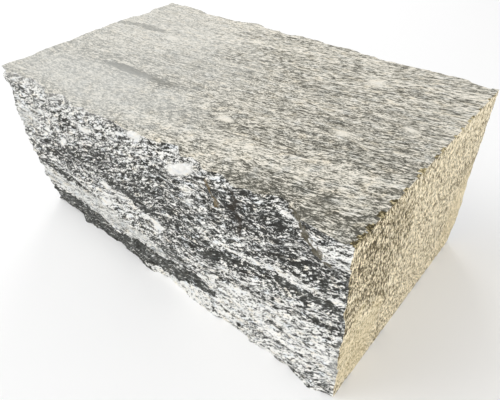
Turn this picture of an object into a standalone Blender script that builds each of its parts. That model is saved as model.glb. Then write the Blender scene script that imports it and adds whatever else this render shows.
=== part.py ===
"""Gneiss wall stone.

One block of folded gneiss for dry stone walling. The top bed, the bottom bed and
the right-hand end are sawn flat. The front, the back and the left-hand end are
split, so they are rough: flat on the whole, with ledges along the foliation,
shallow scoops, chipped arrises and a set-back foot at the left.

Units are metres, +Z is up. X runs along the block, towards the sawn end. The front
faces -Y. The origin is the middle of the bottom bed.
"""

import math

import bmesh
import bpy
from mathutils import Vector, noise

MM = 0.001

NAME = "gneiss_block"

# Overall size, over the proudest points of the split faces.
LENGTH = 355 * MM
DEPTH = 211 * MM
HEIGHT = 150 * MM

# Where the split faces lie on average.
FRONT_Y = -102 * MM
BACK_Y = 102 * MM
ROUGH_END_X = -173.5 * MM
SAWN_END_X = LENGTH / 2

# The quarried block, before sawing, is this much larger at each sawn face.
SAW_ALLOWANCE = 6 * MM
SAW_SNAP = 0.15 * MM

# Mesh: a fine grid takes the relief, and is then reduced to its plain facets.
RELIEF_CELL = 3.2 * MM
ROUGH_TRIANGLES = 8800

# The foliation sags along the block: a layer is lowest at LOW_X and rises from there
# by this many millimetres per square millimetre of distance.
FOLIATION_LOW_X = -68 * MM
FOLIATION_SAG = 0.00055

# Relief of the front. Lumps and hollows: centre along and up, half sizes, outwards.
FRONT_LUMPS = (
    (-150, 0, 120, 60, -5.6),    # foot set back at the left
    (-120, 0, 11, 9, 3.0),       # tooth left standing in that foot
    (-74, 0, 30, 22, -2.0),
    (-36, 0, 24, 18, -2.8),
    (2, 2, 26, 22, -2.2),        # hollow foot at the middle
    (62, 0, 30, 24, 0.8),
    (158, 0, 26, 30, 3.4),       # proud foot at the right
    (176, 14, 24, 34, -1.4),
    (176, 134, 40, 30, 2.6),     # proud shoulder under the right top corner
    (176, 76, 30, 16, -2.2),
    (60, 70, 70, 34, 2.4),       # belly
    (-70, 84, 60, 26, 2.2),
    (-135, 112, 46, 26, -2.6),
    (12, 118, 40, 24, -1.8),
    (118, 92, 46, 20, -2.2),
)
# Teeth that stand out of the top arris, and chips broken out of it.
FRONT_TEETH = (
    (-157, 147, 8, 12, 3.6),
    (-98, 147, 9, 12, 4.2),
    (-59, 148, 8, 10, 3.4),
    (100, 149, 8, 8, 1.6),
)
FRONT_CHIPS = (
    (40, 152, 13, 12, 6.6),
    (61, 151, 11, 8, 3.4),
    (86, 151, 9, 6, 2.6),
    (131, 153, 19, 19, 7.4),     # large scoop near the right top corner
    (-80, 151, 9, 7, 2.4),
    (-125, 151, 13, 6, 2.0),
    (8, 151, 7, 5, 1.6),
    (148, 118, 24, 15, 3.4),
    (64, 128, 22, 14, 2.8),
    (-30, 62, 30, 11, 2.4),
    (-118, 78, 30, 10, 2.6),
    (92, 60, 26, 12, 2.4),
    (134, 34, 30, 12, 2.0),
)
# Ledges on the front: from, to, level, set-back below the ledge, height of set-back.
FRONT_LEDGES = (
    (-176, -88, 57, 3.4, 22),    # dark layer that ends over the light band
    (-176, 60, 28, 2.6, 17),     # light band over the charcoal layer
    (36, 176, 72, 2.2, 16),      # dark seam at the right
    (-96, 36, 78, 2.0, 14),
    (-40, 96, 108, 1.8, 14),
    (70, 176, 48, 1.6, 13),
    (-176, -60, 100, 1.8, 15),
)

BACK_LUMPS = (
    (-110, 150, 70, 46, -3.4),
    (-54, 149, 14, 16, 3.0),
    (40, 120, 60, 50, 2.6),
    (140, 150, 44, 34, 2.2),
    (174, 76, 40, 36, -3.4),
    (174, 0, 30, 22, -7.0),      # broken lower corner by the sawn end
    (100, 30, 60, 36, 2.2),
    (-60, 52, 74, 42, 3.2),
    (-150, 20, 60, 46, -5.0),
    (20, 0, 60, 24, -3.6),
)
BACK_CHIPS = (
    (-88, 152, 15, 9, 2.8),
    (-14, 152, 13, 9, 3.2),
    (84, 152, 8, 6, 2.2),
    (-140, 104, 34, 18, 3.2),
    (-10, 84, 36, 14, 3.0),
    (70, 66, 30, 12, 2.6),
    (120, 98, 28, 13, 2.8),
    (-90, 18, 30, 14, 3.2),
)
BACK_LEDGES = (
    (-176, -20, 112, 2.6, 20),
    (-70, 110, 70, 3.0, 22),
    (40, 176, 40, 2.4, 18),
    (-176, -60, 44, 2.6, 20),
)

# The rough end: centre across (y) and up.
END_LUMPS = (
    (-100, 142, 34, 17, 5.2),    # bulge under the top arris by the front
    (0, 146, 60, 20, 2.4),
    (-100, 124, 44, 12, -2.4),
    (-100, 84, 40, 14, 1.2),
    (-100, 106, 40, 14, -1.6),
    (-104, 14, 96, 52, -7.5),    # foot set back by the front
    (60, 10, 70, 50, -6.0),
    (54, 96, 60, 40, 2.6),
    (0, 64, 50, 26, 1.6),
)
END_CHIPS = (
    (-34, 151, 12, 7, 2.2),
    (62, 151, 14, 9, 2.6),
    (88, 151, 10, 7, 2.0),
    (-60, 60, 28, 14, 3.2),
    (20, 98, 30, 13, 3.0),
    (74, 50, 26, 15, 3.2),
    (-10, 24, 30, 12, 2.6),
)
END_LEDGES = (
    (-104, 20, 112, 2.2, 16),
    (-30, 104, 74, 2.8, 20),
    (-104, 10, 40, 2.8, 18),
    (10, 104, 128, 1.8, 14),
)

STONE_GREY = (0.33, 0.33, 0.31, 1.0)
STONE_ROUGHNESS = 0.82


def clamp(value):
    return min(max(value, 0.0), 1.0)


def smoothstep(low, high, value):
    t = clamp((value - low) / (high - low))
    return t * t * (3 - 2 * t)


def layer_level(along, up):
    """Level of the foliation layer at a point of an upright face, in millimetres."""
    swing = (along - FOLIATION_LOW_X) / MM
    return up / MM - FOLIATION_SAG * swing * swing


def lump_relief(along, up, lumps):
    """Smooth swellings and hollows."""
    total = 0.0
    for centre, height, half_along, half_up, out in lumps:
        reach = math.hypot((along / MM - centre) / half_along, (up / MM - height) / half_up)
        if reach < 1:
            total += out * (1 - reach * reach) ** 2
    return total


def chip_relief(along, up, chips, seed):
    """Scoops with a crisp, uneven rim."""
    total = 0.0
    for centre, height, half_along, half_up, depth in chips:
        u = (along / MM - centre) / half_along
        v = (up / MM - height) / half_up
        if abs(u) < 1.4 and abs(v) < 1.4:
            waver = 0.22 * noise.noise(Vector((u * 1.7, v * 1.7, seed + centre)))
            reach = math.hypot(u, v) + waver
            if reach < 1:
                total -= depth * (1 - reach * reach)
    return total


def ledge_relief(along, up, ledges, seed):
    """Breaks along the foliation: abrupt at the ledge, easing out below it."""
    total = 0.0
    level = layer_level(along, up)
    for start, end, ledge_level, set_back, reach in ledges:
        fade = smoothstep(start - 4, start + 14, along / MM) * smoothstep(end + 4, end - 14, along / MM)
        if fade > 0:
            wander = 3.2 * noise.noise(Vector((along / MM / 15, seed + ledge_level, 0.0)))
            below = ledge_level + wander - level
            if 0 < below < reach:
                total -= fade * set_back * (1 - below / reach)
    return total


def noise_pair(spot):
    """Two independent noise values at one place, as a vector in the face."""
    return Vector((noise.noise(spot), noise.noise(spot + Vector((31.7, 17.3, 5.9))), 0))


def facets(along, level, seed):
    """Small fracture planes: each cell of the face has its own height and its own tilt."""
    spot = Vector((along, level, seed))
    spot += 0.35 * noise_pair(spot * 1.3)
    centre = noise.voronoi(spot)[1][0]
    height = noise.noise(centre * 3.7)
    tilt = noise_pair(centre * 2.9)
    return height + 1.3 * tilt.dot(spot - centre)


def hackle(along, up, seed):
    """Roughness of the split face: slow swell, flakes along the foliation, facets."""
    a = along / MM
    level = layer_level(along, up)
    swell = 1.7 * noise.noise(Vector((a / 62, level / 40, seed)))
    flake_field = noise.noise(Vector((a / 34, level / 10, seed + 11)))
    flakes = 1.3 * smoothstep(-0.05, 0.05, flake_field)
    broken = 1.5 * facets(a / 19, level / 10, seed + 23)
    return swell + flakes + broken - 0.65


def front_out(x, z):
    """How far the front stands out of FRONT_Y at a point of it, in metres."""
    out = lump_relief(x, z, FRONT_LUMPS) + lump_relief(x, z, FRONT_TEETH)
    out += chip_relief(x, z, FRONT_CHIPS, 3.0) + ledge_relief(x, z, FRONT_LEDGES, 5.0)
    return (out + hackle(x, z, 1.0)) * MM


def back_out(x, z):
    out = lump_relief(x, z, BACK_LUMPS) + chip_relief(x, z, BACK_CHIPS, 43.0)
    out += ledge_relief(x, z, BACK_LEDGES, 45.0)
    return (out + 1.2 * hackle(x, z, 41.0)) * MM


def end_out(y, z):
    out = lump_relief(y, z, END_LUMPS) + chip_relief(y, z, END_CHIPS, 83.0)
    out += ledge_relief(y, z, END_LEDGES, 85.0)
    return (out + 1.2 * hackle(y, z, 81.0)) * MM


def quarried_point(point):
    """Place of a grid point, given as fractions 0..1 of the block's three sizes."""
    along, across, up = point
    z = -SAW_ALLOWANCE + up * (HEIGHT + 2 * SAW_ALLOWANCE)
    right = SAWN_END_X + SAW_ALLOWANCE
    x_even = ROUGH_END_X + along * (right - ROUGH_END_X)
    y_even = FRONT_Y + across * (BACK_Y - FRONT_Y)
    left = ROUGH_END_X - end_out(y_even, z)
    x = left + along * (right - left)
    front = FRONT_Y - front_out(x_even, z)
    back = BACK_Y + back_out(x_even, z)
    return Vector((x, front + across * (back - front), z))


def quarried_block():
    """The split block before sawing: a gridded cube whose points take the relief."""
    block = bmesh.new()
    bmesh.ops.create_cube(block, size=1)
    for axis, size in enumerate((LENGTH, DEPTH, HEIGHT)):
        along_axis = [edge for edge in block.edges if edge_run(edge, axis) > 0.5]
        cuts = round(size / RELIEF_CELL) - 1
        bmesh.ops.subdivide_edges(block, edges=along_axis, cuts=cuts, use_grid_fill=True)
    for vert in block.verts:
        vert.co = quarried_point(vert.co + Vector((0.5, 0.5, 0.5)))
    return block


def edge_run(edge, axis):
    """Length of an edge along one axis."""
    return abs(edge.verts[1].co[axis] - edge.verts[0].co[axis])


def reduced(block, triangles):
    """The block with its plain areas reduced to larger facets."""
    bmesh.ops.triangulate(block, faces=block.faces[:])
    mesh = bpy.data.meshes.new("quarried")
    block.to_mesh(mesh)
    block.free()
    carrier = bpy.data.objects.new("quarried", mesh)
    bpy.context.scene.collection.objects.link(carrier)
    decimate = carrier.modifiers.new("Facets", "DECIMATE")
    decimate.ratio = triangles / len(mesh.polygons)
    facets = bmesh.new()
    facets.from_object(carrier, bpy.context.evaluated_depsgraph_get())
    bpy.data.objects.remove(carrier)
    return facets


def saw(block, point, normal):
    """Cut the block off beyond a plane and close the cut with one flat face."""
    everything = block.verts[:] + block.edges[:] + block.faces[:]
    cut = bmesh.ops.bisect_plane(
        block, geom=everything, dist=SAW_SNAP, plane_co=point, plane_no=normal, clear_outer=True
    )
    rim = [item for item in cut["geom_cut"] if isinstance(item, bmesh.types.BMEdge)]
    for vert in {vert for edge in rim for vert in edge.verts}:
        vert.co -= normal * (vert.co - point).dot(normal)
    bmesh.ops.edgeloop_fill(block, edges=rim)


def fit_to_size(block):
    """Bring the split faces' proudest points to the overall size, over the origin."""
    for axis, size in ((0, LENGTH), (1, DEPTH)):
        places = [vert.co[axis] for vert in block.verts]
        low = min(places)
        scale = size / (max(places) - low)
        for vert in block.verts:
            vert.co[axis] = (vert.co[axis] - low) * scale - size / 2


def stone_material():
    material = bpy.data.materials.new("gneiss")
    material.use_nodes = True
    shader = material.node_tree.nodes["Principled BSDF"]
    shader.inputs["Base Color"].default_value = STONE_GREY
    shader.inputs["Roughness"].default_value = STONE_ROUGHNESS
    shader.inputs["Metallic"].default_value = 0.0
    return material


def clear_scene():
    for item in list(bpy.data.objects):
        bpy.data.objects.remove(item, do_unlink=True)


def build():
    clear_scene()
    block = reduced(quarried_block(), ROUGH_TRIANGLES)
    saw(block, Vector((0, 0, 0)), Vector((0, 0, -1)))
    saw(block, Vector((0, 0, HEIGHT)), Vector((0, 0, 1)))
    saw(block, Vector((SAWN_END_X, 0, 0)), Vector((1, 0, 0)))
    fit_to_size(block)
    bmesh.ops.triangulate(block, faces=block.faces[:])
    bmesh.ops.recalc_face_normals(block, faces=block.faces[:])
    mesh = bpy.data.meshes.new(NAME)
    block.to_mesh(mesh)
    block.free()
    mesh.materials.append(stone_material())
    stone = bpy.data.objects.new(NAME, mesh)
    collection = bpy.data.collections.new("gneiss_wall_stone")
    bpy.context.scene.collection.children.link(collection)
    collection.objects.link(stone)


build()
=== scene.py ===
"""Looks of the gneiss wall stone: its fine relief, its rock, the floor, lights and camera.

Lengths are in metres in the frame and in millimetres in the tables of forms and in the
rock's pattern. +X runs along the block to the sawn end, -Y is the split front, +Z is up.
"""

import math
import random
from collections import namedtuple

import bmesh
import bpy
import numpy as np
from mathutils import Matrix, Vector, noise
from mathutils.geometry import delaunay_2d_cdt


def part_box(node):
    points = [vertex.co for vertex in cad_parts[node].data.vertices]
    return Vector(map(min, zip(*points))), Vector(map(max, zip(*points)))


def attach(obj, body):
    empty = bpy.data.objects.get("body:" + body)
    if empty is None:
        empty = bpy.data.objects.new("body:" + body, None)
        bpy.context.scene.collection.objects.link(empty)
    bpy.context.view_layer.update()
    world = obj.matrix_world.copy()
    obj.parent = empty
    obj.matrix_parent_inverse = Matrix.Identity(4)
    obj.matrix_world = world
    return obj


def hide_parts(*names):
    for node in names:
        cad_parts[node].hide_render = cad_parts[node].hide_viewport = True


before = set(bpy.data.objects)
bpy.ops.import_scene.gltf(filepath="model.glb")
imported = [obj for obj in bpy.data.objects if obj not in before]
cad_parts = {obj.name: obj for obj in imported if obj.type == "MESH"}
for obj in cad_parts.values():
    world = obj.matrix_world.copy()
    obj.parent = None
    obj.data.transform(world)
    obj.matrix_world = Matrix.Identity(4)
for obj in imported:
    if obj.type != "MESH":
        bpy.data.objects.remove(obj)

MM = 0.001
NODE = "gneiss_block"
PIECE = "gneiss_stone"

BOX_LOW, BOX_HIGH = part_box(NODE)
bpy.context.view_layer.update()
LENGTH, DEPTH, HEIGHT = BOX_HIGH - BOX_LOW

# ---------------- form of the block

# Where the split faces lie on average, before the block is fitted to its box.
FRONT_Y = -102 * MM
BACK_Y = 102 * MM
ROUGH_END_X = -173.5 * MM
SAWN_END_X = BOX_HIGH.x

RELIEF_CELL = 1.5 * MM    # grid of the visible relief
ARRIS_BORDER = 7 * MM     # width of the strip of that grid along the sawn sides' edges
MIDDLE_CELLS = {"top": 3 * MM, "sawn_end": 3 * MM, "bottom": 9 * MM}   # net inside it
RIM_CELLS = 2             # that net keeps this many of its cells away from the strip,
ONLY_INSIDE = 1           # is made only inside it (Delaunay's output type),
MERGE_DISTANCE = 1e-7     # and points of it closer than this, in metres, are one
FLAT_SNAP = 0.01 * MM     # how near a sawn plane a point counts as on it
SHARP_ANGLE = math.radians(50)   # edges that bend more than this are shaded as sharp

# The foliation sags along the block: a layer is lowest at LOW_X and rises from there
# by this many millimetres per square millimetre of distance.
FOLIATION_LOW_X = -68 * MM
FOLIATION_SAG = 0.00055

# Relief of the front. Lumps and hollows: centre along and up, half sizes, outwards.
FRONT_LUMPS = (
    (-150, 0, 120, 60, -5.6),    # foot set back at the left
    (-120, 0, 11, 9, 3.0),       # tooth left standing in that foot
    (-74, 0, 30, 22, -2.0),
    (-36, 0, 24, 18, -2.8),
    (2, 2, 26, 22, -2.2),        # hollow foot at the middle
    (62, 0, 30, 24, 0.8),
    (158, 0, 26, 30, 3.4),       # proud foot at the right
    (176, 14, 24, 34, -1.4),
    (176, 134, 40, 30, 2.6),     # proud shoulder under the right top corner
    (176, 76, 30, 16, -2.2),
    (60, 70, 70, 34, 2.4),       # belly
    (-70, 84, 60, 26, 2.2),
    (-135, 112, 46, 26, -2.6),
    (12, 118, 40, 24, -1.8),
    (118, 92, 46, 20, -2.2),
    # Teeth left standing along the top arris.
    (-157, 147, 8, 12, 3.6),
    (-98, 147, 9, 12, 4.2),
    (-59, 148, 8, 10, 3.4),
    (100, 149, 8, 8, 1.6),
)
# Chips out of the arris and the face: centre along and up, half sizes, depth.
FRONT_CHIPS = (
    (40, 152, 13, 12, 6.6),
    (61, 151, 11, 8, 3.4),
    (86, 151, 9, 6, 2.6),
    (131, 153, 19, 19, 7.4),     # large scoop near the right top corner
    (-80, 151, 9, 7, 2.4),
    (-125, 151, 13, 6, 2.0),
    (8, 151, 7, 5, 1.6),
    (148, 118, 24, 15, 3.4),
    (64, 128, 22, 14, 2.8),
    (-30, 62, 30, 11, 2.4),
    (-118, 78, 30, 10, 2.6),
    (92, 60, 26, 12, 2.4),
    (134, 34, 30, 12, 2.0),
)
# Ledges on the front: from, to, level, set-back below the ledge, height of set-back.
FRONT_LEDGES = (
    (-176, -88, 57, 3.4, 22),    # dark layer that ends over the light band
    (-176, 60, 28, 2.6, 17),     # light band over the charcoal layer
    (36, 176, 72, 2.2, 16),      # dark seam at the right
    (-96, 36, 78, 2.0, 14),
    (-40, 96, 108, 1.8, 14),
    (70, 176, 48, 1.6, 13),
    (-176, -60, 100, 1.8, 15),
)

# The back, in the same way.
BACK_LUMPS = (
    (-110, 150, 70, 46, -3.4),
    (-54, 149, 14, 16, 3.0),
    (40, 120, 60, 50, 2.6),
    (140, 150, 44, 34, 2.2),
    (174, 76, 40, 36, -3.4),
    (174, 0, 30, 22, -7.0),      # broken lower corner by the sawn end
    (100, 30, 60, 36, 2.2),
    (-60, 52, 74, 42, 3.2),
    (-150, 20, 60, 46, -5.0),
    (20, 0, 60, 24, -3.6),
)
BACK_CHIPS = (
    (-88, 152, 15, 9, 2.8),
    (-14, 152, 13, 9, 3.2),
    (84, 152, 8, 6, 2.2),
    (-140, 104, 34, 18, 3.2),
    (-10, 84, 36, 14, 3.0),
    (70, 66, 30, 12, 2.6),
    (120, 98, 28, 13, 2.8),
    (-90, 18, 30, 14, 3.2),
)
BACK_LEDGES = (
    (-176, -20, 112, 2.6, 20),
    (-70, 110, 70, 3.0, 22),
    (40, 176, 40, 2.4, 18),
    (-176, -60, 44, 2.6, 20),
)

# The rough end, in the same way, but its first values are places across the block (y).
END_LUMPS = (
    (-100, 142, 34, 17, 5.2),    # bulge under the top arris by the front
    (0, 146, 60, 20, 2.4),
    (-100, 124, 44, 12, -2.4),
    (-100, 84, 40, 14, 1.2),
    (-100, 106, 40, 14, -1.6),
    (-104, 14, 96, 52, -7.5),    # foot set back by the front
    (60, 10, 70, 50, -6.0),
    (54, 96, 60, 40, 2.6),
    (0, 64, 50, 26, 1.6),
)
END_CHIPS = (
    (-34, 151, 12, 7, 2.2),
    (62, 151, 14, 9, 2.6),
    (88, 151, 10, 7, 2.0),
    (-60, 60, 28, 14, 3.2),
    (20, 98, 30, 13, 3.0),
    (74, 50, 26, 15, 3.2),
    (-10, 24, 30, 12, 2.6),
)
END_LEDGES = (
    (-104, 20, 112, 2.2, 16),
    (-30, 104, 74, 2.8, 20),
    (-104, 10, 40, 2.8, 18),
    (10, 104, 128, 1.8, 14),
)

# What a split face is made of: its forms, its seed, and how strong its hackle is.
SplitFace = namedtuple("SplitFace", "lumps chips ledges seed roughness")
FRONT = SplitFace(FRONT_LUMPS, FRONT_CHIPS, FRONT_LEDGES, 1.0, 1.0)
BACK = SplitFace(BACK_LUMPS, BACK_CHIPS, BACK_LEDGES, 41.0, 1.2)
ROUGH_END = SplitFace(END_LUMPS, END_CHIPS, END_LEDGES, 81.0, 1.2)

CHIP_REACH = 1.4      # no chip goes further than this many of its half sizes,
CHIP_WAVER = 0.22     # its rim is uneven by this share of them,
CHIP_WAVES = 1.7      # with this many waves over each
LEDGE_OUTSIDE = 4     # a ledge starts to show this far outside its ends
LEDGE_INSIDE = 14     # and is whole this far inside them,
LEDGE_WANDER = 3.2    # it goes up and down by this much,
LEDGE_WAVE = 15       # over about this length

# Roughness of the split faces: how far it stands out and its size along and through the
# layers, in millimetres, its own seed, and how soft the rims of its flakes are.
Roughness = namedtuple("Roughness", "out along through seed rim", defaults=[0])
SWELL = Roughness(1.7, 62, 40, 0)
FLAKES = Roughness(1.3, 34, 10, 11, 0.05)
FACETS = Roughness(1.5, 19, 10, 23)
SMALL_FACETS = Roughness(0.62, 6.4, 3.9, 31)
THIN_FLAKES = Roughness(0.34, 11, 3.2, 41, 0.04)
GRAINS = Roughness(0.24, 2.3, 1.6, 47)
FACET_WAVER = 0.35        # how uneven the cells of the facets are,
FACET_WAVES = 1.3         # with this many waves over each
FACET_TILT = 1.3          # how much each facet tilts
FACET_KEYS = (3.7, 2.9)   # where a cell reads its height and its tilt, by its centre

# Nicks out of the arris between the top bed and the sawn end: y, radius.
TOP_NICKS = (
    (84, 1.2), (66, 0.9), (53, 1.7), (47, 1.2), (34, 1.1), (23, 1.1), (4, 2.3), (-5, 1.6), (-24, 2.7),
    (-29.5, 1.4), (-45.5, 1.5), (-59.5, 2.4), (-72.5, 2.9), (-85, 3.0), (-93.5, 2.6), (-100.5, 2.4),
)
# The other three arrises of the sawn end have theirs at random.
NICK_SEED = 27
BOTTOM_NICKS = 16
BOTTOM_NICK_SPREAD = 0.94             # they keep to this share of the arris
BOTTOM_NICK_RADII = (1.4, 3.0)
UPRIGHT_NICKS = 12                    # at the front, and as many at the back
UPRIGHT_NICK_HEIGHTS = (0.06, 0.94)   # as shares of the block's height
UPRIGHT_NICK_RADII = (1.6, 3.4)
# A nick is a rough ball that pushes the stone's points onto its skin.
NICK_STAND_OFF = 0.3   # its centre is this share of its radius outside the arris, each way
NICK_ROUGHNESS = 0.3   # its skin goes in and out by up to this share of its radius,
NICK_WAVE = 0.8        # over this share of it
NICK_REACH = 12 * MM   # it moves no point further than this from the sawn end


def smoothstep(low, high, value):
    t = min(max((value - low) / (high - low), 0.0), 1.0)
    return t * t * (3 - 2 * t)


def layer_level(along, up):
    """Level of the foliation layer at a point of an upright face, in millimetres."""
    swing = (along - FOLIATION_LOW_X) / MM
    return up / MM - FOLIATION_SAG * swing * swing


def lump_relief(along, up, lumps):
    """Smooth swellings and hollows."""
    total = 0.0
    for centre, height, half_along, half_up, out in lumps:
        reach = math.hypot((along / MM - centre) / half_along, (up / MM - height) / half_up)
        if reach < 1:
            total += out * (1 - reach * reach) ** 2
    return total


def chip_relief(along, up, chips, seed):
    """Scoops with a crisp, uneven rim."""
    total = 0.0
    for centre, height, half_along, half_up, depth in chips:
        u = (along / MM - centre) / half_along
        v = (up / MM - height) / half_up
        if abs(u) < CHIP_REACH and abs(v) < CHIP_REACH:
            waver = noise.noise(Vector((u * CHIP_WAVES, v * CHIP_WAVES, seed + centre)))
            reach = math.hypot(u, v) + CHIP_WAVER * waver
            if reach < 1:
                total -= depth * (1 - reach * reach)
    return total


def ledge_relief(along, up, ledges, seed):
    """Breaks along the foliation: abrupt at the ledge, easing out below it."""
    total = 0.0
    level = layer_level(along, up)
    for start, end, ledge_level, set_back, reach in ledges:
        fade = smoothstep(start - LEDGE_OUTSIDE, start + LEDGE_INSIDE, along / MM)
        fade *= smoothstep(end + LEDGE_OUTSIDE, end - LEDGE_INSIDE, along / MM)
        if fade > 0:
            wander = noise.noise(Vector((along / MM / LEDGE_WAVE, seed + ledge_level, 0.0)))
            below = ledge_level + LEDGE_WANDER * wander - level
            if 0 < below < reach:
                total -= fade * set_back * (1 - below / reach)
    return total


def noise_pair(spot):
    """Two independent noise values at one place, as a vector in the face."""
    return Vector((noise.noise(spot), noise.noise(spot + Vector((31.7, 17.3, 5.9))), 0))


def rough_spot(kind, along, up, seed):
    """Where a kind of roughness reads its noise for a point of a face."""
    level = layer_level(along, up)
    return Vector((along / MM / kind.along, level / kind.through, seed + kind.seed))


def bumps(kind, along, up, seed):
    """Soft bumps and hollows."""
    return kind.out * noise.noise(rough_spot(kind, along, up, seed))


def flakes(kind, along, up, seed):
    """Flat flakes that stand out of flat ground."""
    field = noise.noise(rough_spot(kind, along, up, seed))
    return kind.out * smoothstep(-kind.rim, kind.rim, field)


def facets(kind, along, up, seed):
    """Small fracture planes: each cell of the face has its own height and its own tilt."""
    spot = rough_spot(kind, along, up, seed)
    spot += FACET_WAVER * noise_pair(spot * FACET_WAVES)
    centre = noise.voronoi(spot)[1][0]
    height = noise.noise(centre * FACET_KEYS[0])
    tilt = noise_pair(centre * FACET_KEYS[1])
    return kind.out * (height + FACET_TILT * tilt.dot(spot - centre))


def hackle(along, up, seed):
    """Roughness of the split face: slow swell, flakes along the foliation, facets."""
    swell = bumps(SWELL, along, up, seed)
    broken = facets(FACETS, along, up, seed)
    return swell + flakes(FLAKES, along, up, seed) + broken - FLAKES.out / 2


def fine_hackle(along, up, seed):
    """What the plain solid leaves out: small facets, thin flakes and single grains."""
    small = facets(SMALL_FACETS, along, up, seed)
    thin = flakes(THIN_FLAKES, along, up, seed)
    return small + thin + bumps(GRAINS, along, up, seed) - THIN_FLAKES.out / 2


def stands_out(face, along, up):
    """How far a split face stands out of its average place at a point, in metres."""
    out = lump_relief(along, up, face.lumps) + chip_relief(along, up, face.chips, face.seed + 2)
    out += ledge_relief(along, up, face.ledges, face.seed + 4)
    rough = face.roughness * hackle(along, up, face.seed)
    return (out + rough + fine_hackle(along, up, face.seed)) * MM


def block_point(place):
    """Place on the block of a grid point, given as fractions 0..1 of its three sizes."""
    along, across, up = place
    z = up * HEIGHT
    x_even = ROUGH_END_X + along * (SAWN_END_X - ROUGH_END_X)
    y_even = FRONT_Y + across * (BACK_Y - FRONT_Y)
    left = ROUGH_END_X - stands_out(ROUGH_END, y_even, z)
    x = left + along * (SAWN_END_X - left)
    front = FRONT_Y - stands_out(FRONT, x_even, z)
    back = BACK_Y + stands_out(BACK, x_even, z)
    return Vector((x, front + across * (back - front), z))


# ---------------- mesh of the block

# The six sides, in the order of their outward axis: -x, +x, -y, +y, -z, +z.
SIDES = ("rough_end", "sawn_end", "front", "back", "bottom", "top")
# The material slots of the block, in the order of FINISHES.
SPLIT, SAWN_BED, SAWN_END, NICK = range(4)


def gridded_cube():
    """A unit cube cut into a grid, whose faces know their side and points their place."""
    block = bmesh.new()
    bmesh.ops.create_cube(block, size=1)
    side = block.faces.layers.int.new("side")
    for face in block.faces:
        axis = max(range(3), key=lambda k: abs(face.normal[k]))
        face[side] = 2 * axis + (face.normal[axis] > 0)
    for axis, size in enumerate((LENGTH, DEPTH, HEIGHT)):
        across = [e for e in block.edges if e.verts[0].co[axis] * e.verts[1].co[axis] < 0]
        cuts = round(size / RELIEF_CELL) - 1
        bmesh.ops.subdivide_edges(block, edges=across, cuts=cuts, use_grid_fill=True)
    place = block.verts.layers.float_vector.new("place")
    for vert in block.verts:
        vert[place] = vert.co + Vector((0.5, 0.5, 0.5))
    return block, side, place


def open_middles(block, side, place):
    """Take out the flat middle of the sawn sides, to be closed by a coarser net."""
    border = Vector((ARRIS_BORDER / LENGTH, ARRIS_BORDER / DEPTH, ARRIS_BORDER / HEIGHT))
    middles = []
    for face in block.faces:
        if SIDES[face[side]] not in MIDDLE_CELLS:
            continue
        centre = sum((vert[place] for vert in face.verts), Vector()) / len(face.verts)
        across = [k for k in range(3) if k != face[side] // 2]
        if all(border[k] < centre[k] < 1 - border[k] for k in across):
            middles.append(face)
    bmesh.ops.delete(block, geom=middles, context="FACES")


def close_middles(block, side):
    """A net of triangles over the middle of each sawn side, joined to its gridded strip."""
    rims = {}
    for edge in block.edges:
        if edge.is_boundary:
            rims.setdefault(edge.link_faces[0][side], []).append(edge)
    for number, rim in rims.items():
        axis = number // 2
        right, up = [k for k in range(3) if k != axis]
        cell = MIDDLE_CELLS[SIDES[number]]
        verts = list(dict.fromkeys(vert for edge in rim for vert in edge.verts))
        order = {vert: k for k, vert in enumerate(verts)}
        spots = [Vector((vert.co[right], vert.co[up])) for vert in verts]
        low = [min(spot[k] for spot in spots) for k in (0, 1)]
        high = [max(spot[k] for spot in spots) for k in (0, 1)]
        counts = [round((high[k] - low[k]) / cell) for k in (0, 1)]
        steps = [(high[k] - low[k]) / counts[k] for k in (0, 1)]
        for i in range(RIM_CELLS, counts[0] - RIM_CELLS + 1):
            for j in range(RIM_CELLS, counts[1] - RIM_CELLS + 1):
                spots.append(Vector((low[0] + i * steps[0], low[1] + j * steps[1])))
        rim_pairs = [tuple(order[vert] for vert in edge.verts) for edge in rim]
        found = delaunay_2d_cdt(spots, rim_pairs, [], ONLY_INSIDE, MERGE_DISTANCE)
        net, _, triangles, sources, _, _ = found
        level = verts[0].co[axis]
        made = []
        for spot, source in zip(net, sources):
            if source and source[0] < len(verts):
                made.append(verts[source[0]])
                continue
            at = Vector((level, level, level))
            at[right], at[up] = spot
            made.append(block.verts.new(at))
        for corners in triangles:
            face = block.faces.new([made[k] for k in corners])
            face[side] = number


def fit_to_box(block):
    """Bring the proudest points of the split faces to the frame's box."""
    for axis in (0, 1):
        places = [vert.co[axis] for vert in block.verts]
        low, high = min(places), max(places)
        scale = (BOX_HIGH[axis] - BOX_LOW[axis]) / (high - low)
        for vert in block.verts:
            vert.co[axis] = BOX_LOW[axis] + (vert.co[axis] - low) * scale


def sawn_end_nicks():
    """Nicks of the sawn end's four arrises: place and way out, both across and up; radius."""
    dice = random.Random(NICK_SEED)
    nicks = []
    for y, radius in TOP_NICKS:
        nicks.append(((y * MM, HEIGHT), (0, 1), radius * MM))
    for _ in range(BOTTOM_NICKS):
        y = dice.uniform(BOX_LOW.y, BOX_HIGH.y) * BOTTOM_NICK_SPREAD
        radius = dice.uniform(*BOTTOM_NICK_RADII) * MM
        nicks.append(((y, 0), (0, -1), radius))
    for _ in range(UPRIGHT_NICKS):
        z = dice.uniform(*UPRIGHT_NICK_HEIGHTS) * HEIGHT
        for y, way in ((FRONT_Y, -1), (BACK_Y, 1)):
            radius = dice.uniform(*UPRIGHT_NICK_RADII) * MM
            nicks.append(((y, z), (way, 0), radius))
    return nicks


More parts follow.
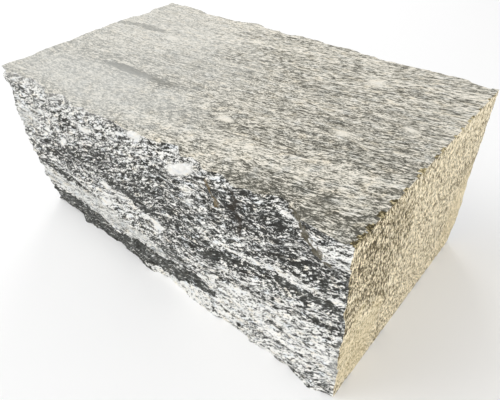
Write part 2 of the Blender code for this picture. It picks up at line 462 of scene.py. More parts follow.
def nick_sawn_arrises(block):
    """Push the points inside each nick's rough ball onto its skin."""
    near_end = [vert for vert in block.verts if vert.co.x > SAWN_END_X - NICK_REACH]
    for number, (at, way, radius) in enumerate(sawn_end_nicks()):
        centre = Vector((SAWN_END_X, *at)) + Vector((1, *way)) * NICK_STAND_OFF * radius
        for vert in near_end:
            arm = vert.co - centre
            if max(map(abs, arm)) < (1 + NICK_ROUGHNESS) * radius:
                spot = vert.co / (NICK_WAVE * radius) + Vector((number, 0, 0))
                skin = radius * (1 + NICK_ROUGHNESS * noise.noise(spot))
                if 0 < arm.length < skin:
                    vert.co = centre + arm.normalized() * skin


def on_plane(face, side):
    """True where a face of a sawn side still lies in the sawn plane."""
    axis, is_high = divmod(face[side], 2)
    plane = (BOX_HIGH if is_high else BOX_LOW)[axis]
    return all(abs(vert.co[axis] - plane) < FLAT_SNAP for vert in face.verts)


def assign_finishes(block, side):
    for face in block.faces:
        name = SIDES[face[side]]
        if name not in MIDDLE_CELLS:
            face.material_index = SPLIT
        elif not on_plane(face, side):
            face.material_index = NICK
        else:
            face.material_index = SAWN_END if name == "sawn_end" else SAWN_BED
        face.smooth = face.material_index == SPLIT


MAP_GAP = 6 * MM   # between the sides on the flat map that a bake of the colours uses
# Where each side lies on that map: its two axes, its column and its row.
MAP_PLACES = {
    "front": (0, 2, 0, 0),
    "back": (0, 2, 0, 1),
    "top": (0, 1, 0, 2),
    "bottom": (0, 1, 0, 3),
    "rough_end": (1, 2, 1, 0),
    "sawn_end": (1, 2, 1, 1),
}


def lay_out_map(block, side, place):
    """A flat map of the six sides: sawn ones as they lie, split ones by their grid."""
    size = BOX_HIGH - BOX_LOW
    columns = (0, LENGTH)
    rows = (0, HEIGHT, 2 * HEIGHT, 2 * HEIGHT + DEPTH)
    whole = 2 * (HEIGHT + DEPTH) + (len(rows) + 1) * MAP_GAP
    layer = block.loops.layers.uv.new("OFBake")
    for face in block.faces:
        name = SIDES[face[side]]
        right, up, column, row = MAP_PLACES[name]
        left = columns[column] + (column + 1) * MAP_GAP
        bottom = rows[row] + (row + 1) * MAP_GAP
        for loop in face.loops:
            if name in MIDDLE_CELLS:
                at = loop.vert.co - BOX_LOW
            else:
                at = loop.vert[place] * size
            loop[layer].uv = ((left + at[right]) / whole, (bottom + at[up]) / whole)


def placed(name, data):
    """A new object of the scene."""
    made = bpy.data.objects.new(name, data)
    bpy.context.scene.collection.objects.link(made)
    return made


def build_stone():
    block, side, place = gridded_cube()
    open_middles(block, side, place)
    for vert in block.verts:
        vert.co = block_point(vert[place])
    fit_to_box(block)
    nick_sawn_arrises(block)
    close_middles(block, side)
    bmesh.ops.recalc_face_normals(block, faces=block.faces[:])
    assign_finishes(block, side)
    lay_out_map(block, side, place)
    mesh = bpy.data.meshes.new(PIECE)
    block.to_mesh(mesh)
    block.free()
    mesh.set_sharp_from_angle(angle=SHARP_ANGLE)
    return placed(PIECE, mesh)


# ---------------- marks in the rock

# A mark is a lens, in millimetres and degrees: its centre, its half sizes, its amount,
# and if it is tilted, how much its long way rises, how much that turns, and how much it
# leans about that.

# Lenses with more dark grains than around them, or fewer.
DARKER = (
    # The front, and the arris over it.
    ((-40, -102, 127), (110, 26, 22), 0.02, -3),  # salt and pepper
    ((-63, -100, 88), (84, 24, 14), 0.22, -3),  # dark streaks
    ((-96, -102, 90), (50, 14, 4.6), 0.22, 6),  # thinner ones
    ((-22, -95, 84), (40, 34, 7), 0.24, -9),  # dark layer
    ((-18, -95, 72), (36, 34, 2.8), -0.6, -5),  # white layer under it
    ((-128, -102, 74), (40, 14, 4), 0.26, 8),  # more dark streaks
    ((-58, -102, 104), (50, 14, 5), 0.16, 12),
    ((-140, -102, 56), (50, 70, 5), 0.45, -4),  # dark layer over the light band
    ((-48, -102, 60), (60, 16, 11), -0.12, -2),
    ((-20, -102, 106), (50, 20, 18), 0.12, 3),  # darker about the middle
    ((28, -102, 76), (54, 14, 16), 0.14),
    ((76, -102, 112), (100, 24, 32), 0.14, 4),  # dark zone under the arris
    ((122, -102, 124), (44, 16, 28), 0.14, -12),
    ((166, -102, 118), (26, 14, 24), 0.06),
    ((112, -95, 83), (80, 34, 6), 0.26, 9),  # dark seam at the right
    ((66, -95, 76), (24, 30, 5.4), 0.1, 8),
    ((136, -95, 96), (54, 34, 4.6), -0.6, 8),  # light layer over it
    ((98, -95, 56), (50, 30, 4), 0.3, 9),
    ((118, -90, 34), (104, 50, 38), -0.23, 7),  # white zone at the right foot
    ((20, -98, 84), (200, 40, 70), 0.04, 4),  # the whole front, a little
    ((30, -102, 4), (60, 20, 11), -0.34, 2),  # white under the charcoal
    ((120, -98, 17), (20, 20, 3), 0.4, 8),  # its dark specks
    ((148, -98, 24), (18, 20, 3.4), 0.3, 12),
    ((166, -102, 4), (30, 14, 12), 0.16, 6),  # and at its lower corner
    ((76, -100, 148), (24, 14, 5), -0.24, -6),  # white patches along the arris
    ((128, -96, 145), (20, 14, 2.4), -0.4, -10),
    ((166, -98, 136), (16, 14, 4), -0.4, -20),
    # The top bed.
    ((-6, 59, 150), (34, 4, 6), 0.26, 0, 5),  # dark streaks
    ((92, -12, 150), (44, 5, 6), 0.22, 0, 11),
    ((60, 24, 150), (60, 5, 6), 0.14, 0, 9),
    ((120, 30, 150), (60, 7, 6), 0.1, 0, 12),
    ((146, 62, 150), (40, 5, 6), 0.18, 0, 14),
    ((75, -68, 150), (116, 6, 8), -0.12, 0, 12),  # light streaks
    ((150, 40, 150), (60, 6, 8), -0.12, 0, 13),
    ((-10, -82, 150), (60, 7, 8), -0.08, 0, 5),
    ((158, -20, 150), (60, 26, 20), 0.08, 0, 10),  # darker at the sawn end
    ((50, -10, 150), (160, 80, 14), 0.05, 0, 8),
    ((90, 66, 150), (140, 44, 20), -0.07, 0, 10),  # lighter along the back
    ((-140, 60, 150), (120, 70, 10), -0.14, 0, 5),
    ((126, -97, 150), (84, 20, 8), 0.2, 0, 5),  # darker along the front arris
    # The sawn end.
    ((176, -68, 110), (34, 48, 46), 0.28),  # dark quarter
    ((176, -82, 75), (24, 30, 2.8), 0.7, 0, 0, 10),  # its dark lower seams
    ((176, -50, 62), (24, 20, 2.6), 0.4, 0, 0, -58),
    ((176, -41, 12), (12, 3.4, 14), 0.5),  # dark streak at the foot
    ((176, 20, 145), (12, 110, 9), -0.1),  # paler along its top
    # The back.
    ((100, 96, 86), (150, 60, 7), 0.34, 4),  # dark layers
    ((-90, 96, 112), (110, 40, 6), 0.3, -3),
    ((10, 96, 30), (90, 40, 4), 0.44, 3),
    ((80, 96, 122), (110, 40, 22), 0.16, 3),  # darker under the top arris
    ((-70, 96, 134), (90, 40, 10), -0.16, 2),  # light layers
    ((70, 96, 52), (130, 40, 16), -0.26, 3),
    ((-110, 96, 22), (90, 40, 20), -0.2, -2),
    ((-120, 96, 86), (70, 40, 9), -0.2, -2),
    # The rough end.
    ((-176, -40, 108), (30, 90, 8), 0.22, 0, 0, -10),  # dark layers
    ((-176, 50, 84), (30, 70, 6), 0.4, 0, 0, -26),
    ((-174, 50, 122), (30, 80, 12), -0.2, 0, 0, -16),  # light layers
    ((-174, 60, 34), (30, 60, 14), -0.22, 0, 0, -24),
    ((-174, -60, 130), (30, 40, 8), -0.14, 0, 0, -6),
)
# Lenses that pale the colour and take the grains' contrast away: sawdust and wear, and on the top bed
# by the rough end also a painted highlight.
DUST_AND_HIGHLIGHT = (
    ((-176, -24, 150), (232, 166, 12), 0.37),  # top bed, at the rough end: sawdust and a painted highlight
    ((-60, -70, 150), (140, 36, 10), 0.2),  # and along the front
    ((176, 96, 40), (20, 42, 60), 0.4),  # sawn end, by the back
    ((178, -79, 35), (8, 40, 49), 0.25),  # and over its plain patch
)
# Lenses where the grains are coarse.
COARSE = (
    ((70, 74, 150), (180, 54, 40), 1.0, 0, 6),  # top bed, by the back
    ((-60, 100, 110), (120, 30, 30), 0.5),  # back
    ((20, -102, 100), (60, 20, 24), 0.4),  # middle of the front
)
# Fine-grained layers, and where each lies from pale (-0.5) to black (0.5).
FINE_LAYERS = (
    ((-98, -102, 36.5), (124, 110, 15), -0.11, -1),  # light band
    ((-158, -100, 104), (24, 30, 14), -0.08, 30),  # pale patch at the rough end
    ((-102, -102, 4), (96, 120, 20), 0.3, -2),  # charcoal layer at the foot
    ((4, -102, 20.5), (72, 24, 12), 0.3, 7),  # and on to the right
    ((24, -102, 42), (32, 12, 6), 0.2, -2),  # its upper stringer
    ((-18, -98, 83.5), (38, 30, 4.4), 0.36, -9),  # dark seams at the left
    ((-140, -98, 52.5), (36, 40, 2.8), 0.36, -7),
    ((-95, -98, 94), (16, 30, 3.4), 0.36, -6),
    ((-126, -98, 78), (14, 30, 3.2), 0.36, 4),
    ((80, -95, 78), (36, 34, 3.6), 0.34, 15),  # dark seam at the right
    ((142, -95, 90.4), (48, 34, 3.4), 0.32, 8.5),
    ((126, -98, 35), (11, 20, 3), 0.24, -6),  # lens in the white zone
    ((-78, -39.6, 150), (36, 5.6, 12), 0.5, 0, 3),  # grey streaks of the top bed
    ((-46, -38.2, 150), (48, 4.4, 12), 0.3, 0, 3.5),
    ((-150, 32, 150), (50, 4.8, 12), 0.2, 0, 6),
    ((178, -79, 35), (8, 36, 45), 0.0),  # plain patch of the sawn end
    ((178, -40, 9), (8, 2.8, 14), 0.22),  # dark streak beside it
    ((-70, 102, 64), (150, 60, 10), 0.2, 3),  # charcoal layer of the back
    ((60, 102, 108), (90, 40, 5), -0.12, 2),  # light one of the back
    ((-176, 40, 62), (30, 90, 9), 0.2, 0, 0, -24),  # and of the rough end
)
# Eyes of white feldspar, as lenses without an amount.
EYES = (
    # The front.
    ((49, -102, 138.5), (12.5, 7, 4.6), 23),
    ((-47, -102, 79.5), (6.6, 8, 4.2), 4),
    ((-58, -102, 57), (5, 6, 1.8)),
    ((-102, -102, 99.5), (6.5, 6, 3.2), 30),
    ((6, -102, 146.5), (6.5, 6, 3), 8),
    ((52, -102, 112), (4, 5, 1.8), 10),
    ((52, -102, 121), (4.5, 6, 1.8), 8),
    ((-132, -102, 118), (5, 6, 2.4), 20),
    ((-60, -102, 128), (7, 6, 2.8), 14),
    ((10, -102, 66), (5, 6, 1.8), -5),
    # The top bed.
    ((44.6, -50, 150), (6.5, 3.2, 3), 0, 8),
    ((119, -17, 150), (6, 2.6, 2.6), 0, 8),
    ((-24, 68, 150), (6, 3.6, 3)),
    ((100, 59, 150), (7, 4, 2.6), 0, 8),
    ((152, 13, 150), (4.4, 2.8, 2), 0, 8),
    ((-96, 28, 150), (7, 3.4, 3)),
    # The back and the rough end.
    ((20, 98, 110), (10, 8, 4), 10),
    ((-110, 98, 96), (8, 8, 3.6), -8),
    ((-175, -30, 90), (8, 9, 4), 0, 0, 10),
)
# Rusty cracks on the front: their corners along and up, half width, colour.
CRACKS = (
    (((74, 139), (76.7, 132.4), (79.2, 123.9)), 2.8, (108, 92, 58)),
    (((96.5, 143), (94.9, 129.8), (98.4, 122.8), (98.5, 111.8)), 3.0, (36, 28, 14)),
    (((136, 150), (146, 143), (154, 137), (161, 126)), 4.6, (92, 86, 68)),
)
CRACK_DEPTH = 14    # they show on points up to this far behind the front's average place

# How marks waver, so that none has a drawn outline: wave length, reach and seed.
MARK_WAVERS = ((30.0, 4.0, 3.1), (7.0, 1.6, 9.7))
FINE_WAVERS = ((7.0, 1.6, 1.3), (3.0, 0.8, 7.1))

# A lens's amount grows from nothing to all of it between two depths, where its skin is 0
# and its middle 1.
DARK_RIM = (-0.35, 0.45)
DUST_AND_HIGHLIGHT_RIM = (-0.1, 0.7)
COARSE_RIM = (-0.1, 0.5)
DARK_RANGE = (-0.34, 0.36)   # no place gets lighter or darker than this
FAR_OUTSIDE = -9.0           # millimetres inside a layer or an eye, where none is near


def in_lens(points, centre, radii, rise=0, turn=0, lean=0):
    """The points in a lens's own axes, where its half sizes are 1."""
    tilt = Matrix.Rotation(math.radians(turn), 3, "Z")
    tilt = tilt @ Matrix.Rotation(-math.radians(rise), 3, "Y")
    tilt = tilt @ Matrix.Rotation(math.radians(lean), 3, "X")
    return (points - np.array(centre)) @ np.array(tilt) / np.array(radii)


def inside(points, centre, radii, *angles):
    """How far points are inside a lens with sharp rims: 1 at its middle, 0 at its skin."""
    local = np.abs(in_lens(points, centre, radii, *angles))
    thin = int(np.argmin(radii))
    wide = [k for k in range(3) if k != thin]
    return 1 - local[:, thin] - (local[:, wide] ** 2).sum(axis=1)


def inside_egg(points, *lens):
    """The same for a rounded lens."""
    return 1 - np.linalg.norm(in_lens(points, *lens), axis=1)


def soft_step(low, high, values):
    """smoothstep for an array."""
    t = np.clip((values - low) / (high - low), 0, 1)
    return t * t * (3 - 2 * t)


def wavered(points, wavers):
    """The points moved by each waver in turn, twice as far along the block as across it."""
    for wave_length, reach, seed in wavers:
        moved = points.copy()
        offset = Vector((seed, 2 * seed, 3 * seed))
        for k, point in enumerate(points):
            spot = Vector(point) / wave_length + offset
            moved[k, 0] += 2 * reach * noise.noise(spot)
            moved[k, 2] += reach * noise.noise(spot + Vector((19.1, 7.7, 3.3)))
            moved[k, 1] += reach * noise.noise(spot + Vector((5.3, 29.9, 13.7)))
        points = moved
    return points


def crack_distance(points, corners):
    """Distance from a crooked line on the front."""
    nearest = np.full(len(points), 1e3)
    flat = points[:, (0, 2)]
    for start, end in zip(corners, corners[1:]):
        a, b = np.array(start), np.array(end)
        share = np.clip((flat - a) @ (b - a) / ((b - a) @ (b - a)), 0, 1)
        nearest = np.minimum(nearest, np.linalg.norm(flat - a - share[:, None] * (b - a), axis=1))
    return nearest


def added(points, lenses, rim):
    """Sum of the amounts of lenses that have this rim."""
    total = np.zeros(len(points))
    for centre, radii, amount, *angles in lenses:
        total += amount * soft_step(*rim, inside(points, centre, radii, *angles))
    return total


def add_mark(mesh, name, values):
    mark = mesh.attributes.new(name, "FLOAT", "POINT")
    mark.data.foreach_set("value", values.astype(np.float32))


def mark_rock(mesh):
    """Write what the rock is at each point of the block, for the rock's nodes to read.

    dark: how much darker than usual. dust: how much the colour pales and the
    grains' contrast goes, from sawdust and wear, and on the top bed by the rough end from a
    painted highlight. coarse: share of coarse grains. layer: millimetres inside a
    fine-grained layer, and layer_tone its tone. eye: millimetres inside white feldspar.
    rust_N: nearness to crack N, from 1 on it to 0 where its stain ends.
    """
    points = np.empty(3 * len(mesh.vertices))
    mesh.vertices.foreach_get("co", points)
    points = points.reshape(-1, 3) / MM
    moved = wavered(points, MARK_WAVERS)
    add_mark(mesh, "dark", np.clip(added(moved, DARKER, DARK_RIM), *DARK_RANGE))
    # Sawdust and wear pale the rock; on the top bed by the rough end this is also a painted
    # highlight.
    add_mark(mesh, "dust", added(moved, DUST_AND_HIGHLIGHT, DUST_AND_HIGHLIGHT_RIM))
    add_mark(mesh, "coarse", added(moved, COARSE, COARSE_RIM))
    layer = np.full(len(points), FAR_OUTSIDE)
    tone = np.zeros(len(points))
    for centre, radii, its_tone, *angles in FINE_LAYERS:
        depth = inside(moved, centre, radii, *angles) * min(radii)
        tone = np.where(depth > layer, its_tone, tone)
        layer = np.maximum(depth, layer)
    add_mark(mesh, "layer", layer)
    add_mark(mesh, "layer_tone", tone)
    moved = wavered(points, FINE_WAVERS)
    eye = np.full(len(points), FAR_OUTSIDE)
    for centre, radii, *angles in EYES:
        eye = np.maximum(eye, inside_egg(moved, centre, radii, *angles) * min(radii))
    add_mark(mesh, "eye", eye)
    on_front = points[:, 1] < FRONT_Y / MM + CRACK_DEPTH
    for number, (corners, half_width, _) in enumerate(CRACKS):
        stain = 1 - crack_distance(moved, corners) / half_width
        add_mark(mesh, f"rust_{number}", np.where(on_front, np.clip(stain, -1, 1), -1.0))


# ---------------- rock of the block

# The foliation lies flat and sagging behind the front, and bends down towards the back.
SAG_DEPTH = (8.0, 90.0)  # the layers sag along the front, and no longer this far behind it
FOLD_START = 45.0        # they bend down from about this far behind the front,
FOLD_SOFTNESS = 25.0     # over this length,
FOLD_SLOPE = 0.8         # to this slope
TURN = 0.15              # seen from the top they run across by this much for each
TURN_GROWTH = 0.00035    # millimetre along the block, and more towards the sawn end,
FAN_DEPTH = 58.0         # and they fan out over this depth behind the front
SLANT = 0.3              # towards the rough end grains lie this much steeper than layers,
SLANT_FROM = 20.0        # from this place along the block on
# How the layers swirl and ripple: size of the waves and how far they move, per axis.
LAYER_WAVES = (((60, 36, 36), (12, 9, 9)), ((7, 4, 4), (1.6, 1.2, 1.2)))

# The rock's tone goes from white (-0.5) over 0 to black (0.5). Noise in it has a size
# along, through and across the layers in millimetres, a detail, a roughness, and an
# amount by which it moves the tone.
Pattern = namedtuple("Pattern", "size detail roughness amount", defaults=(2, 0.5, 1))
USUAL_TONE = -0.01           # where no mark says more
BANDS = Pattern((150, 8, 9), amount=0.6)
STREAKS = Pattern((40, 2.2, 4.4), 3, 0.6, 1.1)
CLUMPS = Pattern((10, 3, 5), 3, 0.65)   # each finish has its own amount of them
CLOTS = Pattern((7.8, 2.5, 2.5), 3, 0.9, 5.2)
COARSE_CLOTS = Pattern((7, 3, 3.4), 3, 0.7, 3)
COARSE_SHARE = 0.6           # coarse rock keeps this share of the usual grains
GRAIN_SIZE = (1.9, 1, 1)
ODD_GRAINS = (0.82, 0.9)     # a cell over this value is a much darker or lighter grain,
ODD_TONE = 0.5               # by this tone
CRUMB_SIZE = (1.2, 0.8, 0.8)
CRUMB_AMOUNT = 0.3
LACE = Pattern((7.5, 2.6, 2.6), 3, 0.6)
LACE_WIDTH = 0.06            # where the lace's noise is under this, it is a light thread,
LACE_TONES = (-0.3, 0.06)    # of the first tone against the second beside it
LIGHT_MARKS = (-0.3, 0)      # from the marks with the lightest rock to none
LIGHT_CALM = 0.88            # that rock has this share of the usual contrast

# Fine-grained layers and eyes.
THREADS = Pattern((9, 0.8, 2.4), 3, 0.7)
LAYER_BANDS = Pattern((28, 2.6, 9), 3, amount=0.5)
PALE_TO_DARK = (-0.15, 0)    # from pale layers to dark ones
SPECKS = (0.2, 0.4)          # the usual grains show in them by this much
LAYER_EDGE = Pattern((6, 1.6, 3), amount=4)   # how their edges waver, in millimetres
LAYER_RAGGED = 1.6           # grains move the edge by this for each unit of tone
LAYER_RIM = (-0.6, 0.6)      # where the edge starts and ends
FELDSPAR = Pattern((2, 2, 2), amount=0.6)
FELDSPAR_TONE = -0.42
EYE_RAGGED = 2.6
EYE_RIM = (-0.4, 0.4)

# Light grains aren't all one white: some are cream, some cool.
TINTS = Pattern((9, 4, 7))
TINT_RANGE = (0.04, 0.2)
CREAM = (255, 244, 224)
COOL = (226, 236, 250)

RUST_PATCHES = Pattern((3, 3, 4), 3, 0.6, 3.2)
RUST_RIM = (0.1, 0.6)        # where a stain starts and is whole
RUST_COVER = 0.9             # how much of the rock it hides
GRIT = Pattern((1.3, 1.3, 1.3), 3, 0.6, 0.5)   # its amount is in millimetres


def srgb(*levels):
    """A colour given in 0..255 as a screen shows it, as the shaders take it."""
    parts = [level / 255 for level in levels]
    linear = [p / 12.92 if p <= 0.04045 else ((p + 0.055) / 1.055) ** 2.4 for p in parts]
    return (*linear, 1.0)


class Nodes:
    """Adds nodes to one material in short calls. A value is a number, a vector or a socket."""

    def __init__(self, material):
        material.use_nodes = True
        self.tree = material.node_tree
        self.shader = self.tree.nodes["Principled BSDF"]

    def node(self, kind, **settings):
        made = self.tree.nodes.new(kind)
        for key, value in settings.items():
            setattr(made, key, value)
        return made

    def feed(self, sockets, values):
        """Set or link the first sockets of a node."""
        for socket, value in zip(sockets, values):
            if isinstance(value, bpy.types.NodeSocket):
                self.tree.links.new(value, socket)
            else:
                socket.default_value = value

    def outputs(self, kind, *values, **settings):
        """The outputs of a new node whose first inputs get these values."""
        made = self.node(kind, **settings)
        self.feed(made.inputs, values)
        return made.outputs

    def math(self, operation, *values):
        return self.outputs("ShaderNodeMath", *values, operation=operation)[0]

    def add_scaled(self, total, value, factor):
        return self.math("MULTIPLY_ADD", value, factor, total)

    def vector(self, operation, *values):
        return self.outputs("ShaderNodeVectorMath", *values, operation=operation)[0]

    def combine(self, *values):
        return self.outputs("ShaderNodeCombineXYZ", *values)[0]

    def separate(self, vector):
        return self.outputs("ShaderNodeSeparateXYZ", vector)

    def mark(self, name):
        return self.node("ShaderNodeAttribute", attribute_name=name).outputs["Fac"]

    def texture(self, kind, place, size, **inputs):
        """A texture at one cycle per size, given per axis."""
        made = self.node(kind)
        self.feed((made.inputs["Vector"],), (self.vector("DIVIDE", place, size),))
        made.inputs["Scale"].default_value = 1.0
        for name, value in inputs.items():
            made.inputs[name].default_value = value
        return made

    def noise(self, place, pattern):
        """Noise about zero, of about -0.35..0.35, without the pattern's amount."""
        settings = {"Detail": pattern.detail, "Roughness": pattern.roughness}
        made = self.texture("ShaderNodeTexNoise", place, pattern.size, **settings)
        return self.math("SUBTRACT", made.outputs[0], 0.5)

    def add_noise(self, total, place, pattern):
        return self.add_scaled(total, self.noise(place, pattern), pattern.amount)

    def noise_vector(self, place, size):
        made = self.texture("ShaderNodeTexNoise", place, size, Detail=2.0)
        return self.vector("SUBTRACT", made.outputs[1], (0.5, 0.5, 0.5))

    def cells(self, place, size):
        """A random value of -0.5..0.5 for each grain-like cell."""
        made = self.texture("ShaderNodeTexVoronoi", place, size)
        return self.math("SUBTRACT", self.separate(made.outputs["Color"])[0], 0.5)

    def between(self, value, low, high, to_low=0.0, to_high=1.0, steps="SMOOTHSTEP"):
        values = (value, low, high, to_low, to_high)
        return self.outputs("ShaderNodeMapRange", *values, interpolation_type=steps)[0]

    def mix(self, factor, a, b):
        made = self.node("ShaderNodeMix", data_type="FLOAT")
        self.feed((made.inputs[0], made.inputs[2], made.inputs[3]), (factor, a, b))
        return made.outputs[0]

    def mix_colour(self, factor, a, b, blend="MIX"):
        made = self.node("ShaderNodeMix", data_type="RGBA", blend_type=blend)
        self.feed((made.inputs[0], made.inputs[6], made.inputs[7]), (factor, a, b))
        return made.outputs[2]

    def ramp(self, value, stops):
        """Colours along a value: stops are (value, (red, green, blue))."""
        low, high = stops[0][0], stops[-1][0]
        made = self.node("ShaderNodeValToRGB")
        self.feed(made.inputs, (self.between(value, low, high, steps="LINEAR"),))
        elements = made.color_ramp.elements
        while len(elements) < len(stops):
            elements.new(0.5)
        for element, (at, colour) in zip(elements, stops):
            element.position = (at - low) / (high - low)
            element.color = srgb(*colour)
        return made.outputs[0]

    def bump(self, height, strength, distance):
        made = self.node("ShaderNodeBump")
        made.inputs["Strength"].default_value = strength
        made.inputs["Distance"].default_value = distance
        self.feed((made.inputs["Height"],), (height,))
        self.feed((self.shader.inputs["Normal"],), (made.outputs[0],))


def bent_down(nodes, behind):
    """How far the layers have bent down this far behind the front."""
    past = nodes.math("SUBTRACT", behind, FOLD_START)
    root = nodes.math("SQRT", nodes.math("MULTIPLY_ADD", past, past, FOLD_SOFTNESS ** 2))
    return nodes.math("MULTIPLY", nodes.math("ADD", root, past), FOLD_SLOPE / 2)


def rock_places(nodes, place):
    """The place along, through and across the layers, and the same in the grains' lie."""
    moved = place
    for size, reach in LAYER_WAVES:
        moved = nodes.vector("MULTIPLY_ADD", nodes.noise_vector(place, size), reach, moved)
    x, y, z = nodes.separate(moved)
    behind = nodes.math("SUBTRACT", y, FRONT_Y / MM)
    near_front = nodes.between(behind, *SAG_DEPTH, 1.0, 0.0)
    swing = nodes.math("SUBTRACT", x, FOLIATION_LOW_X / MM)
    sag = nodes.math("MULTIPLY", nodes.math("MULTIPLY", swing, swing), FOLIATION_SAG)
    up = nodes.math("SUBTRACT", z, nodes.math("MULTIPLY", sag, near_front))
    turn = nodes.math("MULTIPLY", x, nodes.math("MULTIPLY_ADD", x, TURN_GROWTH, TURN))
    fan = nodes.between(behind, 0.0, FAN_DEPTH, steps="LINEAR")
    fanned = nodes.math("SUBTRACT", behind, nodes.math("MULTIPLY", turn, fan))
    down = nodes.math("ADD", up, bent_down(nodes, fanned))
    layers = nodes.combine(x, down, fanned)
    slant = nodes.math("MINIMUM", nodes.math("SUBTRACT", x, SLANT_FROM), 0.0)
    slant = nodes.math("MULTIPLY", nodes.math("MULTIPLY", slant, -SLANT), near_front)
    through = nodes.math("ADD", down, slant)
    return layers, nodes.combine(x, through, nodes.math("SUBTRACT", behind, turn))


def grains(nodes, lie):
    """Tone about zero: clots down to grain size, single grains, and a lace of white ones."""
    tone = nodes.add_noise(0.0, lie, CLOTS)
    cell = nodes.texture("ShaderNodeTexVoronoi", lie, GRAIN_SIZE)
    red, green, _ = nodes.separate(cell.outputs["Color"])
    tone = nodes.math("ADD", tone, nodes.between(red, *ODD_GRAINS, 0.0, ODD_TONE))
    tone = nodes.math("ADD", tone, nodes.between(green, *ODD_GRAINS, 0.0, -ODD_TONE))
    tone = nodes.add_scaled(tone, nodes.cells(lie, CRUMB_SIZE), CRUMB_AMOUNT)
    winding = nodes.math("ABSOLUTE", nodes.noise(lie, LACE))
    return nodes.math("ADD", tone, nodes.between(winding, 0.0, LACE_WIDTH, *LACE_TONES))


def rock_tone(nodes, layers, lie, finish):
    """Tone of the rock, grain by grain."""
    tone = nodes.add_noise(USUAL_TONE, layers, BANDS)
    tone = nodes.add_noise(tone, lie, STREAKS)
    tone = nodes.add_scaled(tone, nodes.noise(lie, CLUMPS), finish.clumps)
    tone = nodes.math("ADD", tone, nodes.mark("dark"))
    contrasts = (LIGHT_CALM * finish.contrast, finish.contrast)
    contrast = nodes.between(nodes.mark("dark"), *LIGHT_MARKS, *contrasts)
    usual = nodes.math("MULTIPLY", grains(nodes, lie), contrast)
    coarse = nodes.add_scaled(nodes.add_noise(0.0, lie, COARSE_CLOTS), usual, COARSE_SHARE)
    tone = nodes.math("ADD", tone, nodes.mix(nodes.mark("coarse"), usual, coarse))

    layer_tone = nodes.add_noise(nodes.mark("layer_tone"), layers, THREADS)
    layer_tone = nodes.add_noise(layer_tone, layers, LAYER_BANDS)
    specks = nodes.between(nodes.mark("layer_tone"), *PALE_TO_DARK, *SPECKS)
    layer_tone = nodes.math("MULTIPLY_ADD", usual, specks, layer_tone)
    edge = nodes.add_noise(nodes.mark("layer"), layers, LAYER_EDGE)
    edge = nodes.add_scaled(edge, usual, LAYER_RAGGED)
    tone = nodes.mix(nodes.between(edge, *LAYER_RIM), tone, layer_tone)

    edge = nodes.add_scaled(nodes.mark("eye"), usual, EYE_RAGGED)
    feldspar = nodes.add_noise(FELDSPAR_TONE, lie, FELDSPAR)
    return nodes.mix(nodes.between(edge, *EYE_RIM), tone, feldspar)


def tinted(nodes, colour, layers, amount):
    tint = nodes.noise(layers, TINTS)
    low, high = TINT_RANGE
    cream = nodes.between(tint, low, high, 0.0, amount)
    cool = nodes.between(tint, -low, -high, 0.0, amount)
    colour = nodes.mix_colour(cream, colour, srgb(*CREAM), "MULTIPLY")
    return nodes.mix_colour(cool, colour, srgb(*COOL), "MULTIPLY")


def rusted(nodes, colour, place, cracks):
    """The cracks' stains, in patches."""
    patchy = nodes.noise(place, RUST_PATCHES)
    for number, (_, _, stain) in enumerate(cracks):
        near = nodes.add_scaled(nodes.mark(f"rust_{number}"), patchy, RUST_PATCHES.amount)
        amount = nodes.between(near, *RUST_RIM, 0.0, RUST_COVER)
        colour = nodes.mix_colour(amount, colour, srgb(*stain))
    return colour


def gneiss(finish):
    """The material of one finish of the rock."""
    material = bpy.data.materials.new(finish.name)
    nodes = Nodes(material)
    coordinates = nodes.node("ShaderNodeTexCoord").outputs["Object"]
    place = nodes.vector("MULTIPLY", coordinates, (1 / MM, 1 / MM, 1 / MM))
    layers, lie = rock_places(nodes, place)
    lie = nodes.vector("DIVIDE", lie, finish.grain)
    tone = rock_tone(nodes, layers, lie, finish)
    colour = tinted(nodes, nodes.ramp(tone, finish.stops), layers, finish.tint)
    # Pale towards the finish's sawdust colour; on the top bed by the rough end that is also a painted
    # highlight.
    colour = nodes.mix_colour(nodes.mark("dust"), colour, srgb(*finish.dust))
    if finish.cracks:
        colour = rusted(nodes, colour, place, finish.cracks)
    nodes.feed((nodes.shader.inputs["Base Color"],), (colour,))
    nodes.shader.inputs["Roughness"].default_value = finish.roughness
    nodes.bump(nodes.noise(place, GRIT), finish.grit, GRIT.amount * MM)
    return material


# Colours of the grains by tone, as (tone, (red, green, blue)).
SPLIT_STOPS = (
    (-0.60, (246, 245, 241)), (-0.26, (232, 231, 226)), (-0.10, (212, 212, 208)),
    (-0.02, (172, 173, 169)), (0.05, (118, 119, 116)), (0.14, (84, 86, 82)),
    (0.34, (56, 57, 53)), (0.65, (32, 31, 27)),
)
BED_STOPS = (
    (-0.50, (234, 228, 215)), (-0.24, (210, 206, 193)), (-0.08, (186, 183, 171)),
    (0.06, (156, 153, 141)), (0.20, (116, 113, 102)), (0.50, (74, 72, 62)),
)
END_STOPS = (
    (-0.44, (252, 239, 210)), (-0.18, (236, 223, 192)), (0.0, (212, 199, 167)),
    (0.14, (162, 146, 102)), (0.25, (106, 90, 40)), (0.56, (58, 44, 6)),
)
# Nicks: olive-brown and darker than the sawn end around them, partly brown dirt in them and partly
# painted shade of their hollows.
NICK_DIRT_AND_SHADE_STOPS = (
    (-0.50, (214, 200, 160)), (-0.10, (152, 138, 100)), (0.06, (106, 94, 60)), (0.40, (62, 54, 30)),
)
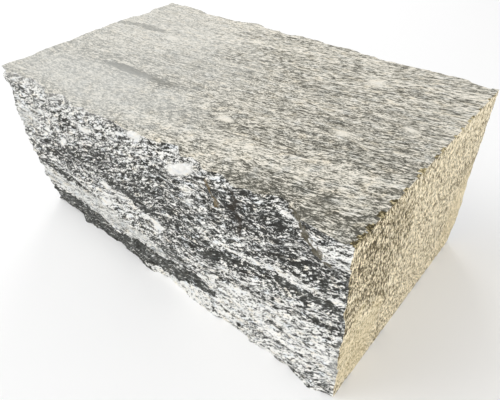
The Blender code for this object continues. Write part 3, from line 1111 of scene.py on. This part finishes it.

# A finish has its grains' colours, the colour its sawdust and wear pale it to, which on the
# top bed by the rough end is also a painted highlight, how much its light grains are tinted,
# how rough it is to the light, how strong its grit is, what stretches its grains along,
# through and across the layers, their contrast, its amount of clumps, and cracks.
FIELDS = "name stops dust tint roughness grit grain contrast clumps cracks"
Finish = namedtuple("Finish", FIELDS, defaults=((1, 1, 1), 1, 0.8, ()))
FINISHES = (
    Finish(
        "gneiss_split", SPLIT_STOPS, dust=(214, 213, 208), tint=0.45, roughness=0.65, grit=0.6,
        cracks=CRACKS,
    ),
    # The top bed pales by the rough end to a light cool grey: sawdust and a painted highlight.
    Finish(
        "gneiss_sawn_bed", BED_STOPS, dust=(204, 205, 201), tint=0.35, roughness=0.78, grit=0.2,
        grain=(0.74, 0.66, 0.66), contrast=0.8, clumps=0.3,
    ),
    Finish(
        "gneiss_sawn_end", END_STOPS, dust=(214, 197, 157), tint=0.2, roughness=0.78, grit=0.3,
        grain=(0.85, 1.6, 0.6), contrast=1.1, clumps=0.3,
    ),
    # The nicks are olive-brown, also where sawdust pales them: brown dirt and painted shade of their
    # hollows.
    Finish("gneiss_nick", NICK_DIRT_AND_SHADE_STOPS, dust=(124, 114, 88), tint=0, roughness=0.85, grit=0.6),
)


# ---------------- floor, light, camera

FLOOR_SIZE = 12.0
FLOOR_COLOUR = (0.92, 0.92, 0.92, 1.0)
FLOOR_ROUGHNESS = 0.9
WORLD_STRENGTH = 0.61
# Square soft lights that face the block: name, place, size, power in watts.
LIGHTS = (
    ("key", (-1.1, -0.7, 1.7), 1.6, 19),
    ("fill", (1.5, -0.9, 0.9), 1.4, 14),
    ("rim", (-1.3, 1.5, 0.9), 0.9, 11),
)

# The camera, measured for this block: place, the way it looks and the way up.
CAMERA_PLACE = Vector((0.24853, -0.25639, 0.31962))
CAMERA_FORWARD = Vector((-0.51046, 0.57004, -0.64381))
CAMERA_UP = Vector((-0.39612, 0.50865, 0.76444))
SENSOR = 36.0
FOCAL_IN_WIDTHS = 477.3 / 500   # its focal length, in widths of the picture
CLIP_START = 0.02


def make_camera():
    data = bpy.data.cameras.new("camera")
    data.sensor_width = SENSOR
    data.lens = FOCAL_IN_WIDTHS * SENSOR
    data.clip_start = CLIP_START
    camera = placed("camera", data)
    back = -CAMERA_FORWARD.normalized()
    right = CAMERA_UP.cross(back).normalized()
    up = back.cross(right)
    turn = Matrix((right, up, back)).transposed().to_4x4()
    camera.matrix_world = Matrix.Translation(CAMERA_PLACE) @ turn
    bpy.context.scene.camera = camera


def soft_light(name, place, size, power):
    data = bpy.data.lights.new(name, "AREA")
    data.shape = "SQUARE"
    data.size = size
    data.energy = power
    light = placed(name, data)
    light.location = place
    aim = Vector((0, 0, HEIGHT / 2)) - Vector(place)
    light.rotation_euler = aim.to_track_quat("-Z", "Y").to_euler()


def make_studio():
    bpy.ops.mesh.primitive_plane_add(size=FLOOR_SIZE)
    floor = bpy.context.active_object
    floor.name = "floor"
    paint = bpy.data.materials.new("floor")
    shader = Nodes(paint).shader
    shader.inputs["Base Color"].default_value = FLOOR_COLOUR
    shader.inputs["Roughness"].default_value = FLOOR_ROUGHNESS
    floor.data.materials.append(paint)
    world = bpy.data.worlds.new("studio")
    bpy.context.scene.world = world
    world.use_nodes = True
    background = world.node_tree.nodes["Background"]
    background.inputs["Color"].default_value = (1, 1, 1, 1)
    background.inputs["Strength"].default_value = WORLD_STRENGTH
    for light in LIGHTS:
        soft_light(*light)
    bpy.context.scene.view_settings.view_transform = "Standard"


def dress_stone():
    stone = build_stone()
    mark_rock(stone.data)
    for finish in FINISHES:
        stone.data.materials.append(gneiss(finish))
    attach(stone, "root")
    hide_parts(NODE)


make_camera()
make_studio()
dress_stone()
